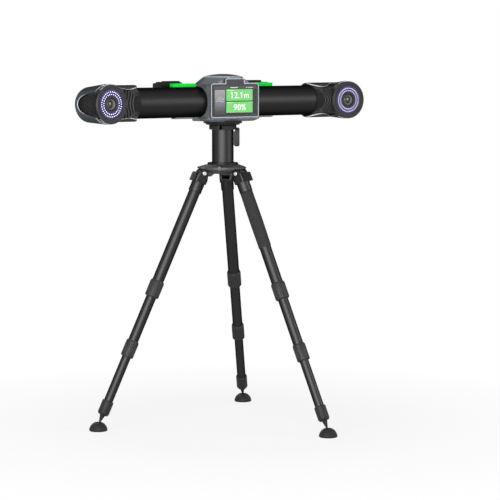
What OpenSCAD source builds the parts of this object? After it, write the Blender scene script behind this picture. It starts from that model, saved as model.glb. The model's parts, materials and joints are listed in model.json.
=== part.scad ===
// Twin-camera optical scanner on a tripod with three-section legs.
// Sizes are in millimetres. X runs along the beam, the lenses look towards -Y and Z is up.
// The floor is Z = 0 and the origin is the middle of the ground the object covers.

/* [Tripod legs] */
// Lean of each leg from the vertical, in degrees
leg_lean = 24; // [18:0.5:28]
// Heading of the first leg from the beam, in degrees
leg_heading = 45; // [30:1:60]
// Distance from the column axis to a leg pivot
pivot_r = 68.2; // [66:0.1:72]
// Distance along the leg from its pivot to the upper lock
upper_reach = 360.7; // [340:0.1:400]
// Length of a twist lock
lock_len = 54; // [40:1:60]
// Length of middle tube in sight
mid_show = 146; // [120:1:160]
// Length of lower tube in sight
low_show = 146; // [120:1:160]
// Outside diameter of the upper tube
tube_d = 36; // [32:0.5:40]
// Wall of the leg tubes
tube_wall = 1.5; // [1:0.1:2]
// Radial gap between one leg tube and the next
tube_gap = 0.5; // [0.3:0.05:0.8]
// Wall of a twist lock around its tube
lock_wall = 4; // [3:0.1:5]
// Length of the foam grip on one leg
foam_len = 182; // [120:1:220]
// Thickness of the foam
foam_t = 2.4; // [2:0.1:4]
// Grooves around a twist lock
lock_grooves = 20; // [8:1:24]

/* [Leg hinges] */
// Radius of the round top of a leg's fork
knuckle_r = 13.5; // [12.5:0.1:14]
// Width of the fork at the top of a leg
fork_w = 42; // [40:0.5:46]
// Depth of the fork's slot below the pivot
slot_depth = 17; // [16:0.25:18]
// Width of the spider's lug between the cheeks of a fork
lug_w = 24; // [20:0.5:26]
// Radius of the end of that lug
lug_r = 11.5; // [10:0.25:12]
// Radius of the hinge pin
pin_r = 4; // [3:0.25:5]
// Radius of the head of a hinge pin
pin_head_r = 6.5; // [5.5:0.25:7.5]
// Distance from the pivot to the tube socket
socket_top = 24; // [23:0.25:28]
// Length of the tube socket
socket_len = 39; // [30:1:50]
// Wall of the tube socket
socket_wall = 2.4; // [1.5:0.1:4]
// Thickness of the angle tab
tab_t = 10; // [7:0.25:12]
// Radius of the spider's dish
dish_r = 70; // [66:0.5:74]
// Height of the spider's top over the pivots
hub_rise = 27.5; // [26:0.25:32]

/* [Feet] */
// Length of the collar at the bottom of a leg
end_collar_len = 47; // [40:1:54]
// Distance from that collar to the ball
stud_drop = 34; // [30:1:40]
// Radius of the ball in the foot
ball_r = 8; // [7:0.25:9]
// Radius of the dome of the foot
pad_r = 28.5; // [27:0.5:32]
// Height of the ball centre over the floor
ball_h = 17; // [15:0.5:18]

/* [Column] */
// Radius of the column
column_r = 33.8; // [30:0.1:36]
// Height of the column over the spider
column_len = 107; // [95:1:125]
// Radius of the clamp collar
collar_r = 42.6; // [41:0.1:46]
// Height of the clamp collar
collar_h = 15; // [13:0.5:18]
// Radius of the pan spindle
spindle_r = 20; // [16:0.5:22]
// Radius of the pan flange
flange_r = 60; // [56:0.5:66]
// Height of the pan flange
flange_h = 11; // [9:0.5:14]
// Width of the slit in the clamp collar
collar_slit = 9; // [4:0.5:12]
// Length of the clamp lever
lever_len = 58; // [45:1:66]
// Width of the clamp lever
lever_w = 24; // [18:0.5:28]
// Heading of the clamp lever from the beam, in degrees
lever_heading = -36; // [-60:1:-10]

/* [Beam] */
// Distance between the two lenses
lens_span = 900; // [840:1:960]
// Diameter of the beam tube
beam_d = 94; // [90:0.5:98]
// Wall of the beam tube
beam_wall = 4; // [3:0.1:5]
// Distance from the beam axis to the front of the camera faces
face_out = 64.5; // [62:0.25:70]
// Turn of each camera towards the middle, in degrees
toe_in = 6.4; // [0:0.1:8]
// Distance from a lens to the end of the beam tube
neck_len = 123; // [115:1:130]

/* [Camera heads] */
// Outside radius of a camera casing at its front
head_r = 62; // [60:0.25:66]
// Depth of a camera casing
head_depth = 107; // [100:0.5:115]
// Wall of a camera casing
casing_wall = 4; // [3:0.1:5]
// How far the casing sleeve reaches along the beam tube
sleeve_lap = 20; // [12:0.5:30]
// Half the height of the opening at the inner side of a casing, at its lowest
mouth_h = 41.5; // [39:0.25:44]
// Distance from the end of the beam tube to that lowest place
mouth_mid = 31; // [26:0.5:36]
// Inside radius of the black front ring
ring_in_r = 45; // [43:0.25:47]
// Radius of the lens barrel
lens_r = 20; // [17:0.25:22]
// Radius of the lens glass
glass_r = 11.5; // [9:0.25:13]
// Lights in the outer ring
outer_leds = 38; // [20:1:44]
// Lights in the inner ring
inner_leds = 30; // [16:1:34]

/* [Middle housing] */
// Half the width of the housing at its waist
waist_x = 91; // [88:0.5:97]
// Half the width of the housing at its flared edges
flare_x = 104; // [100:0.5:112]
// Depth of the housing in front of the beam axis
house_front = 57; // [55:0.5:60]
// Depth of the housing behind the beam axis
house_back = 52; // [50:0.5:60]
// Radius of the housing's rear corners seen from above
house_corner = 60; // [40:0.5:70]
// Height of the roof over the beam axis
roof_h = 76; // [72:0.5:84]
// Drop of the floor below the beam axis
floor_h = 60; // [57:0.5:66]
// Radius of the top cap
cap_r = 55; // [48:0.5:58]
// Length of the rail under the beam, each side of the middle
rail_x = 186; // [150:1:220]
// Length of the light strips, each side of the middle
strip_x = 195; // [160:1:230]
// Length of the rear module, each side of the middle
module_x = 206; // [180:1:240]
// Depth of the rear module
module_d = 48; // [44:0.5:52]
// Height of the rear module
module_h = 36; // [32:0.5:40]
// Width of the grooved block at each end of the rear module
module_end = 35; // [28:0.5:42]
// Rise of the top cap over its edge
cap_rise = 7; // [5:0.25:9]
// Thickness of the top cap at its edge
cap_edge = 3; // [2:0.25:4]

/* [Display] */
// Width of the display frame
frame_w = 182; // [170:0.5:190]
// Height of the display frame
frame_h = 106; // [100:0.5:112]
// Thickness of the display frame
frame_t = 9; // [8:0.25:12]
// Width of the tab over the display
tab_w = 73; // [50:0.5:90]
// Height of the tab over the display
tab_h = 15; // [8:0.5:18]
// Width of the frame's rim
rim_w = 3; // [2:0.1:5]
// Width of the dark border beside the screen, rim included
border_w = 9.5; // [7:0.25:16]
// Height of the dark border over and under the screen, rim included
border_h = 9; // [7:0.25:12]

/* [Clearances] */
// Gap between a part and the seat it stands in
seat_gap = 0.15; // [0.05:0.01:0.25]
// Gap between two parts that move past each other
slide_gap = 0.35; // [0.3:0.01:0.5]
// Gap between a pin and the hole it turns in
run_gap = 0.08; // [0.03:0.01:0.1]

/* [Hidden] */
$fn = 96;
leg_len = upper_reach + 2 * lock_len + mid_show + low_show + end_collar_len + stud_drop;
pivot_z = ball_h + leg_len * cos(leg_lean);
foot_r = pivot_r + leg_len * sin(leg_lean);
foot_y = [for (k = [1:3]) foot_r * sin(leg_heading + 120 * (k - 1))];
column_y = -(max(foot_y) + min(foot_y)) / 2;
mid_d = tube_d - 2 * (tube_wall + tube_gap);
low_d = mid_d - 2 * (tube_wall + tube_gap);
tube_top = socket_top + 5;
socket_end = socket_top + socket_len;
lock1 = upper_reach;
lock2 = lock1 + lock_len + mid_show;
end_top = lock2 + lock_len + low_show;
end_bot = end_top + end_collar_len;
upper_end = lock1 + 0.4 * lock_len;
mid_end = lock2 + 0.4 * lock_len;
low_end = end_top + 0.6 * end_collar_len;
nest = 165;
mid_top = upper_end - nest - 25;
low_top = mid_end - nest - 80;
socket_r = tube_d / 2 + socket_wall;
fork_x = socket_r + 0.2;
tab_x = fork_x + slide_gap;
tongue_z = slot_depth + 2;
tongue_h = 8;
fork_half = fork_w / 2;
lug_half = lug_w / 2;
hub_top = pivot_z + hub_rise;
hub_bot = pivot_z - 2;
hub_in_r = dish_r / 2;
base_r = column_r + 14;
fork_top = pivot_z + knuckle_r + 2 * slide_gap;
boss_r = 7;
column_top = hub_top + column_len;
collar_top = column_top + collar_h - slide_gap;
flange_bot = column_top + collar_h;
flange_top = flange_bot + flange_h;
beam_z = flange_top + floor_h;
beam_r = beam_d / 2;
lever_pin_r = collar_r + 5.2;
lever_pin_z = column_top + 1;
head_x = lens_span / 2 + face_out * tan(toe_in);
beam_x = head_x - neck_len;
ring_u = face_out - 2.5;
rear_u = ring_u - head_depth;
shell_in_r = head_r - 1 - casing_wall;
neck_r = beam_r + 2;
rib_h = 2;
mouth_y = 16;
face_y = house_front + frame_t;
board_y = house_front - 2.2;
strip_w = 20;
strip_y = 4;
module_y = beam_r + 13;
module_z = beam_r - 4;
eave_z = beam_r + 9;
lip_z = beam_r + 10;
flare_r = flare_x - waist_x - 1;
pocket_w = 1.7 * lens_r;
panel_t = 3;
screen_w = frame_w - 2 * border_w;
screen_h = frame_h - 2 * border_h;

function side_of(s) = s == "left" ? -1 : 1;

// Puts a shape drawn around the column axis in its place.
module on_column() {
  translate([0, column_y, 0]) children();
}

// A leg's own frame: its pivot is the origin, the leg runs down -Z, the hinge pin lies along Y.
module on_leg(k) {
  on_column()
    rotate([0, 0, leg_heading + 120 * (k - 1)])
      translate([pivot_r, 0, pivot_z])
        rotate([0, -leg_lean, 0])
          children();
}

// The beam's frame, mirrored for the left end.
module on_beam(s) {
  on_column()
    translate([0, 0, beam_z])
      mirror([side_of(s) < 0 ? 1 : 0, 0, 0])
        children();
}

// A camera's frame: X points outwards, the optical axis is +Z before the last turn.
module on_head(s) {
  on_beam(s)
    translate([head_x, 0, 0])
      rotate([0, 0, -toe_in])
        children();
}

// Draws a shape whose axis is Z along the optical axis.
module along_view() {
  rotate([90, 0, 0]) children();
}

// Extrudes a profile of (X, Z) along Y, from one Y to another.
module along_y(y0, y1) {
  translate([0, y1, 0]) rotate([90, 0, 0]) linear_extrude(y1 - y0) children();
}

// Extrudes a profile of (Y, Z) along X, both ways from the middle.
module along_x(half) {
  rotate([90, 0, 90]) translate([0, 0, -half]) linear_extrude(2 * half) children();
}

module rod_x(x0, x1, r) {
  translate([x0, 0, 0]) rotate([0, 90, 0]) cylinder(h = x1 - x0, r = r);
}

// A flat plate shape with round corners.
module round_rect(w, h, r) {
  square([w - 2 * r, h], center = true);
  square([w, h - 2 * r], center = true);
  for (x = [-1, 1], y = [-1, 1])
    translate([x * (w / 2 - r), y * (h / 2 - r)]) circle(r);
}

module tube_part(top, end, d) {
  translate([0, 0, -end])
    difference() {
      cylinder(h = end - top, d = d);
      translate([0, 0, -1]) cylinder(h = end - top + 2, d = d - 2 * tube_wall);
    }
}

// A twist lock: it screws over the end of one tube and grips the next.
module twist_lock(top, d_big, d_small) {
  r = d_big / 2 + lock_wall;
  step = 0.4 * lock_len + 0.5;
  translate([0, 0, -top])
    difference() {
      rotate_extrude()
        polygon([
          [d_small / 2 + slide_gap, -lock_len], [r - 2.5, -lock_len], [r, -lock_len + 3.5],
          [r, -6], [r - 1.6, -1.5], [d_big / 2 + 2, 0], [d_big / 2 + slide_gap, 0],
          [d_big / 2 + slide_gap, -step], [d_small / 2 + slide_gap, -step]
        ]);
      for (i = [1:lock_grooves])
        rotate([0, 0, i * 360 / lock_grooves])
          translate([r + 0.4, 0, -lock_len + 7])
            cylinder(h = lock_len - 17, r = 1.3);
    }
}

module spider() {
  color("#2a2b2c") on_column()
    difference() {
      union() {
        difference() {
          union() {
            spider_dish();
            for (k = [1:3])
              rotate([0, 0, leg_heading + 120 * (k - 1)])
                along_y(-fork_half, fork_half) arm_view();
            rotate([0, 0, leg_heading + 180])
              translate([0, 0, hub_top - 12])
                rotate([0, 90, 0]) cylinder(h = dish_r + 1.5, r = boss_r);
          }
          for (k = [1:3])
            rotate([0, 0, leg_heading + 120 * (k - 1)])
              translate([pivot_r - knuckle_r - 1.5, -fork_half - 1, hub_bot - 1])
                cube([2 * pivot_r, fork_w + 2, fork_top - hub_bot + 1]);
        }
        for (k = [1:3])
          rotate([0, 0, leg_heading + 120 * (k - 1)])
            along_y(-lug_half, lug_half) lug_view();
      }
      for (k = [1:3])
        rotate([0, 0, leg_heading + 120 * (k - 1)])
          translate([pivot_r, 0, pivot_z])
            rotate([90, 0, 0]) cylinder(h = fork_w, r = pin_r + seat_gap / 3, center = true);
      translate([0, 0, hub_bot - hub_rise]) cylinder(h = 2 * hub_rise - 7, r = hub_in_r);
    }
}

// The round body of the spider: a dish that is widest just under its top.
module spider_dish() {
  rotate_extrude()
    polygon([
      [0, hub_bot], [dish_r - 30, hub_bot], [dish_r - 6, hub_bot + 10], [dish_r, hub_bot + 14],
      [dish_r, hub_top - 9], [dish_r - 2, hub_top - 7.5], [base_r + 1.2, hub_top - 1],
      [base_r, hub_top], [0, hub_top]
    ]);
}

// The side view of the plate that reaches over a leg's fork.
module arm_view() {
  polygon([
    [hub_in_r + 4, hub_top - 1.5], [base_r + 2, hub_top - 1.5], [dish_r + 5, hub_top - 8],
    [dish_r + 7, hub_top - 10], [dish_r + 7, hub_top - 14], [hub_in_r + 4, hub_top - 14]
  ]);
}

// The side view of the lug that a leg's fork turns on.
module lug_view() {
  translate([pivot_r, pivot_z]) circle(lug_r);
  polygon([
    [hub_in_r - 3, hub_top - 8], [hub_in_r - 3, hub_bot], [hub_in_r + 8, pivot_z - lug_r + 1],
    [pivot_r, pivot_z - lug_r + 1], [pivot_r + 1, pivot_z], [pivot_r, hub_top - 12]
  ]);
}

// The hinge pins with their heads, and the pin of the clamp lever.
module pivot_pins() {
  color("#8d9094") on_column() {
    for (k = [1:3])
      rotate([0, 0, leg_heading + 120 * (k - 1)])
        translate([pivot_r, 0, pivot_z])
          rotate([90, 0, 0])
            rotate_extrude()
              polygon([
                [0, -fork_half - 3], [pin_head_r - 1, -fork_half - 3], [pin_head_r, -fork_half - 2],
                [pin_head_r, -fork_half - slide_gap], [pin_r, -fork_half - slide_gap],
                [pin_r, fork_half + slide_gap], [pin_head_r, fork_half + slide_gap],
                [pin_head_r, fork_half + 2], [pin_head_r - 1, fork_half + 3], [0, fork_half + 3]
              ]);
    rotate([0, 0, lever_heading])
      translate([lever_pin_r, 0, lever_pin_z])
        rotate([90, 0, 0]) cylinder(h = lever_w + 11, r = 2, center = true);
  }
}

module column() {
  color("#343435") on_column()
    rotate_extrude()
      polygon([
        [column_r - 8, hub_top], [base_r - 0.7, hub_top], [base_r, hub_top + 1],
        [base_r, hub_top + 3.5], [base_r - 2.7, hub_top + 5], [column_r, hub_top + 5],
        [column_r, column_top], [column_r - 8, column_top]
      ]);
}

module clamp_collar() {
  wall = column_r - 8 - seat_gap;
  color("#2c2c2d") on_column()
    difference() {
      union() {
        translate([0, 0, column_top])
          rotate_extrude()
            polygon([
              [0, -26], [wall, -26], [wall, 0], [collar_r - 1, 0], [collar_r, 1],
              [collar_r, collar_h - slide_gap - 2], [collar_r - 2, collar_h - slide_gap],
              [0, collar_h - slide_gap]
            ]);
        rotate([0, 0, lever_heading]) {
          along_y(lever_w / 2 + slide_gap, lever_w / 2 + 4.5) lever_ear();
          along_y(-lever_w / 2 - 4.5, -lever_w / 2 - slide_gap) lever_ear();
        }
      }
      translate([0, 0, column_top - 30]) cylinder(h = 60, r = spindle_r + run_gap);
      rotate([0, 0, leg_heading + 180])
        translate([spindle_r, -collar_slit / 2, column_top + 0.01]) cube([40, collar_slit, collar_h]);
      rotate([0, 0, lever_heading])
        translate([lever_pin_r, 0, lever_pin_z])
          rotate([90, 0, 0]) cylinder(h = 80, r = 2 + seat_gap / 3, center = true);
    }
}

module lever_ear() {
  translate([lever_pin_r, lever_pin_z]) circle(4.4);
  translate([collar_r - 8, column_top]) square([lever_pin_r - collar_r + 8, 5.4]);
}

module clamp_lever() {
  inner = lever_pin_r - column_r - 1;
  low = lever_pin_z + 4.4 - lever_len;
  color("#262627") on_column()
    rotate([0, 0, lever_heading])
      difference() {
        along_y(-lever_w / 2, lever_w / 2)
          union() {
            translate([lever_pin_r, lever_pin_z]) circle(4.4);
            translate([lever_pin_r - 4.4, lever_pin_z - 6]) square([8.8, 6]);
            translate([lever_pin_r - inner + 3, low + 6])
              square([inner + 1.4, column_top - slide_gap - low - 6]);
            translate([lever_pin_r - inner, low + 9])
              square([inner + 4, lever_pin_z - 9 - slide_gap - low - 9]);
            translate([lever_pin_r - inner + 6, low + 6]) circle(6);
            translate([lever_pin_r - 1.6, low + 6]) circle(6);
            translate([lever_pin_r - inner + 6, low]) square([inner - 7.6, 12]);
            translate([lever_pin_r - inner + 3, lever_pin_z - 9 - slide_gap]) circle(3);
          }
        translate([lever_pin_r, 0, lever_pin_z])
          rotate([90, 0, 0]) cylinder(h = 80, r = 2 + run_gap, center = true);
      }
}

module foam_grip() {
  color("#3c3c3d") on_leg(3)
    translate([0, 0, -socket_end - foam_len])
      difference() {
        cylinder(h = foam_len - slide_gap, r = tube_d / 2 + foam_t);
        translate([0, 0, -1]) cylinder(h = foam_len + 2, r = tube_d / 2 + seat_gap);
      }
}

// The fork at the top of a leg: two cheeks around the lug and a socket for the tube.
module leg_yoke(k) {
  color("#2d2d2e") on_leg(k)
    difference() {
      union() {
        intersection() {
          along_y(-fork_half, fork_half) fork_view();
          translate([(fork_x - socket_r) / 2, 0, -2 * socket_top])
            linear_extrude(4 * socket_top) round_rect(fork_x + socket_r, fork_w, 7);
        }
        rotate_extrude()
          polygon([
            [0, -socket_end], [socket_r - 1, -socket_end], [socket_r, -socket_end + 1],
            [socket_r, -socket_top - 4], [0, -socket_top - 4]
          ]);
      }
      translate([-fork_w, -lug_half - slide_gap, -slot_depth])
        cube([2 * fork_w, lug_w + 2 * slide_gap, fork_w]);
      rotate([90, 0, 0]) cylinder(h = 2 * fork_w, r = pin_r + run_gap, center = true);
      translate([0, 0, -socket_end - 1])
        cylinder(h = socket_end - tube_top + 1.5, r = tube_d / 2 + seat_gap);
      translate([pin_r + 2.5, -5 - slide_gap, -tongue_z - tongue_h - slide_gap])
        cube([fork_w, 10 + 2 * slide_gap, tongue_h + 2 * slide_gap]);
    }
}

// The side view of a fork.
module fork_view() {
  low = -socket_top - 7;
  circle(knuckle_r);
  polygon([
    [-knuckle_r + 0.3, 0], [-socket_r + 0.2, -socket_top + 5], [-socket_r + 0.2, low + 2],
    [-socket_r + 2, low], [fork_x, low], [fork_x, -7], [knuckle_r - 0.3, 0]
  ]);
}

// The sliding tab that sets a leg's angle: a ribbed plate with a tongue in the fork.
module angle_tab(k) {
  low = -socket_top - 9;
  far = tab_x + tab_t;
  color("#39393b") on_leg(k)
    difference() {
      union() {
        along_y(-fork_half, fork_half)
          polygon([
            [tab_x, low], [far - 2, low], [far, low + 2], [far, -9], [far - 4, -4], [tab_x, -4]
          ]);
        translate([pin_r + 3, -5, -tongue_z - tongue_h]) cube([tab_x - pin_r - 2, 10, tongue_h]);
      }
      for (i = [0:2], y = [-1, 1])
        translate([tab_x + 1.4 + 2.9 * i, y * fork_half - 0.8, low - 1]) cube([1.4, 1.6, socket_top + 10]);
      for (i = [0:3])
        translate([far - 0.8, -fork_w, low + 5 + 4.5 * i]) cube([2, 2 * fork_w, 1.6]);
    }
}

module upper_tube(k) {
  color("#2b2b2c") on_leg(k) tube_part(tube_top + 1, upper_end, tube_d);
}

module upper_lock(k) {
  color("#232324") on_leg(k) twist_lock(lock1, tube_d, mid_d);
}

module middle_tube(k) {
  color("#303031") on_leg(k) tube_part(mid_top, mid_end, mid_d);
}

module lower_lock(k) {
  color("#232324") on_leg(k) twist_lock(lock2, mid_d, low_d);
}

module lower_tube(k) {
  color("#303031") on_leg(k) tube_part(low_top, low_end, low_d);
}

// The end of a leg: a collar around the lower tube and the ball it ends in.
module ball_end(k) {
  r = low_d / 2 + 4;
  color("#28282a") on_leg(k)
    difference() {
      union() {
        rotate_extrude()
          polygon([
            [0, -end_top], [r - 2, -end_top], [r, -end_top - 2], [r, -end_bot + 6],
            [r - 4, -end_bot], [8.5, -end_bot], [3.2, -leg_len + 13], [3.2, -leg_len], [0, -leg_len]
          ]);
        translate([0, 0, -leg_len]) sphere(ball_r);
      }
      translate([0, 0, -low_end - 0.3]) cylinder(h = 100, r = low_d / 2 + seat_gap);
    }
}

module foot_pad(k) {
  mouth = 0.58 * ball_r;
  color("#1f1f20") on_column()
    rotate([0, 0, leg_heading + 120 * (k - 1)])
      translate([foot_r, 0, 0])
        difference() {
          union() {
            intersection() {
              sphere(pad_r);
              translate([0, 0, 3]) cylinder(h = pad_r + 1, r = pad_r + 1);
            }
            cylinder(h = 3.01, r1 = pad_r - 1.6, r2 = sqrt(pad_r * pad_r - 9));
          }
          translate([0, 0, ball_h]) sphere(ball_r + slide_gap);
          translate([0, 0, ball_h + mouth])
            cylinder(h = 20, r1 = 0.84 * ball_r, r2 = 0.84 * ball_r + 20);
        }
}

module pan_flange() {
  color("#242425") on_column()
    translate([0, 0, flange_bot])
      rotate_extrude()
        polygon([
          [0, -38], [spindle_r - 1, -38], [spindle_r, -37], [spindle_r, 0], [flange_r - 8, 0],
          [flange_r - 7, 1], [flange_r - 7, 4], [flange_r - 1, 4.5], [flange_r, 5.5],
          [flange_r, flange_h - 1], [flange_r - 1, flange_h], [0, flange_h]
        ]);
}

module beam_tube() {
  color("#2e2d2e") on_beam("right")
    difference() {
      rod_x(-beam_x + 0.2, beam_x - 0.2, beam_r);
      rod_x(-beam_x - 1, beam_x + 1, beam_r - beam_wall);
    }
}

// The housing seen from the front: flared at the roof's eaves and at the floor.
module house_front_view() {
  side = flare_x - waist_x;
  difference() {
    polygon([
      [-flare_x, eave_z], [-flare_x, -lip_z], [-flare_x + 30, -floor_h], [flare_x - 30, -floor_h],
      [flare_x, -lip_z], [flare_x, eave_z], [cap_r + 5, roof_h], [-cap_r - 5, roof_h]
    ]);
    for (x = [-1, 1]) {
      translate([x * (flare_x + side), 0])
        square([4 * side, 2 * (beam_r - 9)], center = true);
      for (z = [-1, 1])
        translate([x * (waist_x + flare_r), z * (beam_r - 9)]) circle(flare_r);
    }
  }
}

module house_side_view() {
  polygon([
    [-house_front, eave_z + 2], [-house_front, -floor_h + 8], [-house_front + 9, -floor_h],
    [house_back - 5, -floor_h], [house_back, -floor_h + 8], [house_back, eave_z - 4],
    [cap_r + 1, roof_h], [-cap_r - 1, roof_h]
  ]);
}

// The housing seen from above, grown by a gap: square in front and round behind.
module house_plan(gap) {
  w = flare_x + 1 + gap;
  d = house_back + 4 + gap;
  r = house_corner + gap;
  translate([-w, -2 * house_front]) square([2 * w, 2 * house_front + d - r]);
  translate([r - w, -house_front]) square([2 * (w - r), house_front + d]);
  for (x = [-1, 1])
    translate([x * (w - r), d - r]) circle(r);
}

module centre_housing() {
  color("#4a5157") on_beam("right")
    difference() {
      union() {
        intersection() {
          along_y(-house_front, 2 * house_back) house_front_view();
          along_x(flare_x + 1) house_side_view();
          translate([0, 0, -beam_d]) linear_extrude(2 * beam_d) house_plan(0);
        }
        along_y(-11, 11)
          translate([0, -beam_r - 3]) round_rect(2 * rail_x, 9, 4);
      }
      rod_x(-rail_x - 1, rail_x + 1, beam_r + seat_gap);
      along_y(-2 * house_front, -beam_r + 6)
        translate([0, 5]) round_rect(screen_w + 3, screen_h + 6, 3);
    }
}

module top_cap() {
  dome = (cap_r * cap_r + cap_rise * cap_rise) / (2 * cap_rise);
  color("#2a2c2e") on_column()
    translate([0, 0, beam_z + roof_h])
      rotate_extrude()
        intersection() {
          translate([0, cap_edge + cap_rise - dome]) circle(dome, $fn = 720);
          square([cap_r, 2 * (cap_edge + cap_rise)]);
        }
}

module light_strips() {
  color("#16c02a") on_beam("right")
    difference() {
      along_y(strip_y - strip_w / 2, strip_y + strip_w / 2)
        for (x = [-1, 1])
          translate([x * (strip_x + flare_x) / 2, beam_r + 4])
            round_rect(strip_x - flare_x + 2 * seat_gap, 17, 8);
      rod_x(-strip_x - 1, strip_x + 1, beam_r + seat_gap);
      along_y(-strip_w, strip_w) square([2 * (flare_x + seat_gap), 3 * roof_h], center = true);
    }
}

module rear_module() {
  groove = module_end / 12;
  color("#252627") on_beam("right")
    difference() {
      union() {
        along_x(module_x - module_end) module_side_view(0);
        along_x(module_x) module_side_view(2.5);
      }
      rod_x(-module_x - 1, module_x + 1, beam_r + seat_gap);
      for (x = [-1, 1], i = [1:4])
        translate([x * (module_x - module_end * i / 5) - groove / 2, module_y - module_d, 0])
          cube([groove, module_d / 2 + groove, 2 * beam_d]);
      translate([0, 0, -beam_d]) linear_extrude(2 * beam_d) house_plan(seat_gap);
    }
}

module module_side_view(drop) {
  translate([module_y, module_z - drop / 2]) round_rect(module_d - drop, module_h - drop, module_h / 5);
}

// The outline of the display with its tab, shrunk by an inset.
module display_outline(inset) {
  translate([0, 5]) round_rect(frame_w - 2 * inset, frame_h - 2 * inset, 8 - inset);
  translate([0, 5 + frame_h / 2 + tab_h / 2 - 8])
    round_rect(tab_w - 2 * inset, tab_h + 16 - 2 * inset, 6 - inset);
}

module display_frame() {
  color("#7d858c") on_beam("right")
    difference() {
      along_y(-face_y, -house_front - 0.1) display_outline(0);
      along_y(-face_y - 1, -face_y + panel_t + 1.2) display_outline(rim_w);
      along_y(-100, 0) translate([0, 5]) round_rect(screen_w - 4, screen_h - 4, 2);
    }
}

module display_panel() {
  color("#2b2d2e") on_beam("right")
    difference() {
      along_y(-face_y + 1, -face_y + panel_t + 1) display_outline(rim_w + 0.3);
      along_y(-100, 0) translate([0, 5]) round_rect(screen_w, screen_h, 2);
    }
}

module display_screen() {
  color("#1a1c1e") on_beam("right")
    along_y(-face_y + 1.3, -face_y + panel_t + 1)
      translate([0, 5]) round_rect(screen_w - 0.4, screen_h - 0.4, 2);
}

module circuit_boards() {
  color("#1c5a36") {
    on_beam("right")
      along_y(-board_y, -board_y + 1.6) translate([0, 5]) round_rect(screen_w + 2.4, screen_h + 5.4, 2);
    for (s = ["left", "right"])
      on_head(s) along_view()
        translate([0, 0, ring_u - 37.5]) linear_extrude(1.6) square(pocket_w - 2 * slide_gap, center = true);
  }
}

// The outline of a camera's body of revolution, shrunk by an inset and cut off at a front.
module barrel_outline(inset, front) {
  translate([head_r - 34, rear_u + 24]) circle(24 - inset);
  polygon([
    [0, rear_u + inset], [head_r - 34, rear_u + inset], [head_r - 10 - inset, rear_u + 24],
    [head_r - 1 - inset, ring_u - 22], [head_r - 1 - inset, front], [0, front]
  ]);
}

// That outline as a solid.
module head_barrel(inset, front) {
  rotate([0, 0, 90]) rotate_extrude()
    intersection() {
      barrel_outline(inset, front);
      translate([0, rear_u - 10]) square([200, 300]);
    }
}

// The wall between two insets as a solid.
module head_shell(outer, inner, front) {
  rotate([0, 0, 90]) rotate_extrude()
    intersection() {
      difference() {
        barrel_outline(outer, front);
        barrel_outline(inner, front + 10);
      }
      translate([0, rear_u - 10]) square([200, 300]);
    }
}

// The window at the outer side of a casing: round behind, wider towards the front.
module cover_shape(inset) {
  r = 27 - inset;
  half = (ring_u + 20) * tan(13) + r / cos(13);
  circle(r);
  polygon([[0, r - 1], [ring_u + 20, half], [ring_u + 20, -half], [0, 1 - r]]);
}

// The window as a solid: its profile runs along the optical axis and it is cut outwards.
module cover_block(inset) {
  translate([head_r / 3, 0, 0])
    rotate([0, 0, 180]) rotate([90, 0, -90])
      linear_extrude(80) rotate([0, 0, 180]) cover_shape(inset);
}

module head_casing(s) {
  sleeve_r = neck_r + rib_h;
  color("#4a5157") difference() {
    union() {
      on_head(s) along_view() head_shell(0, casing_wall, ring_u);
      difference() {
        on_beam(s) rod_x(beam_x - sleeve_lap, head_x - 20, sleeve_r + 4.5);
        on_head(s) along_view() head_barrel(casing_wall / 2, ring_u);
      }
    }
    on_beam(s) {
      rod_x(0, head_x, sleeve_r + seat_gap);
      along_y(-200, -mouth_y) mouth_shape();
      translate([0, 0, -100]) linear_extrude(200) tongue_ends();
    }
    on_head(s) cover_block(0);
  }
}

// The opening seen from the front, arched above and below.
module mouth_shape() {
  x0 = beam_x + mouth_mid;
  rise = 0.0054;
  arch = [for (d = [-80:10:60]) [x0 + d, mouth_h + rise * d * d]];
  foot = [for (d = [60:-10:-80]) [x0 + d, -mouth_h - rise * d * d]];
  polygon(concat(arch, foot));
}

// What is cut off the sleeve seen from above, so that its two tongues end in a point.
module tongue_ends() {
  tip = beam_x - sleeve_lap;
  front = [for (y = [-60:6:0]) [tip + 42 * pow(y / 32, 2), y]];
  back = [for (y = [12:12:72]) [tip + 20 * pow(y / 55, 2), y]];
  polygon(concat([[tip - 60, -60]], front, back, [[tip - 60, 72]]));
}

module head_core(s) {
  color("#232324") {
    difference() {
      union() {
        on_head(s) along_view() head_barrel(casing_wall + 2 * seat_gap, ring_u - 1.5);
        on_beam(s) {
          rod_x(beam_x, head_x - 10, neck_r);
          rod_x(beam_x - 40, beam_x + 1, beam_r - beam_wall - seat_gap);
          neck_ribs();
        }
      }
      on_head(s) along_view() {
        translate([0, 0, ring_u - 32]) cylinder(h = 80, r = lens_r + seat_gap);
        translate([-pocket_w / 2, -pocket_w / 2, ring_u - 38]) cube([pocket_w, pocket_w, 6.5]);
      }
    }
  }
}

// A plain collar beside the tube and chevron ribs that point at the camera.
module neck_ribs() {
  pitch = 10;
  edge = beam_x + 16;
  rows = [-48, -36, -24, -16, -8, 0, 8, 16, 24, 36, 48];
  intersection() {
    rod_x(beam_x + 2, head_x - 20, neck_r + rib_h);
    along_y(-100, -mouth_y)
      union() {
        polygon(concat(
          [[beam_x, -48]],
          [for (z = rows) [edge + 16 * pow(z / 36, 2), z]],
          [[beam_x, 48]]
        ));
        for (i = [0:4]) {
          x0 = edge + 15 + pitch * i;
          polygon(concat(
            [for (z = rows) [x0 - chevron(z), z]],
            [for (j = [len(rows) - 1:-1:0]) [x0 + 4.5 - chevron(rows[j]), rows[j]]]
          ));
        }
      }
  }
}

function chevron(z) = 0.6 * (sqrt(z * z + 100) - 10);

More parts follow.
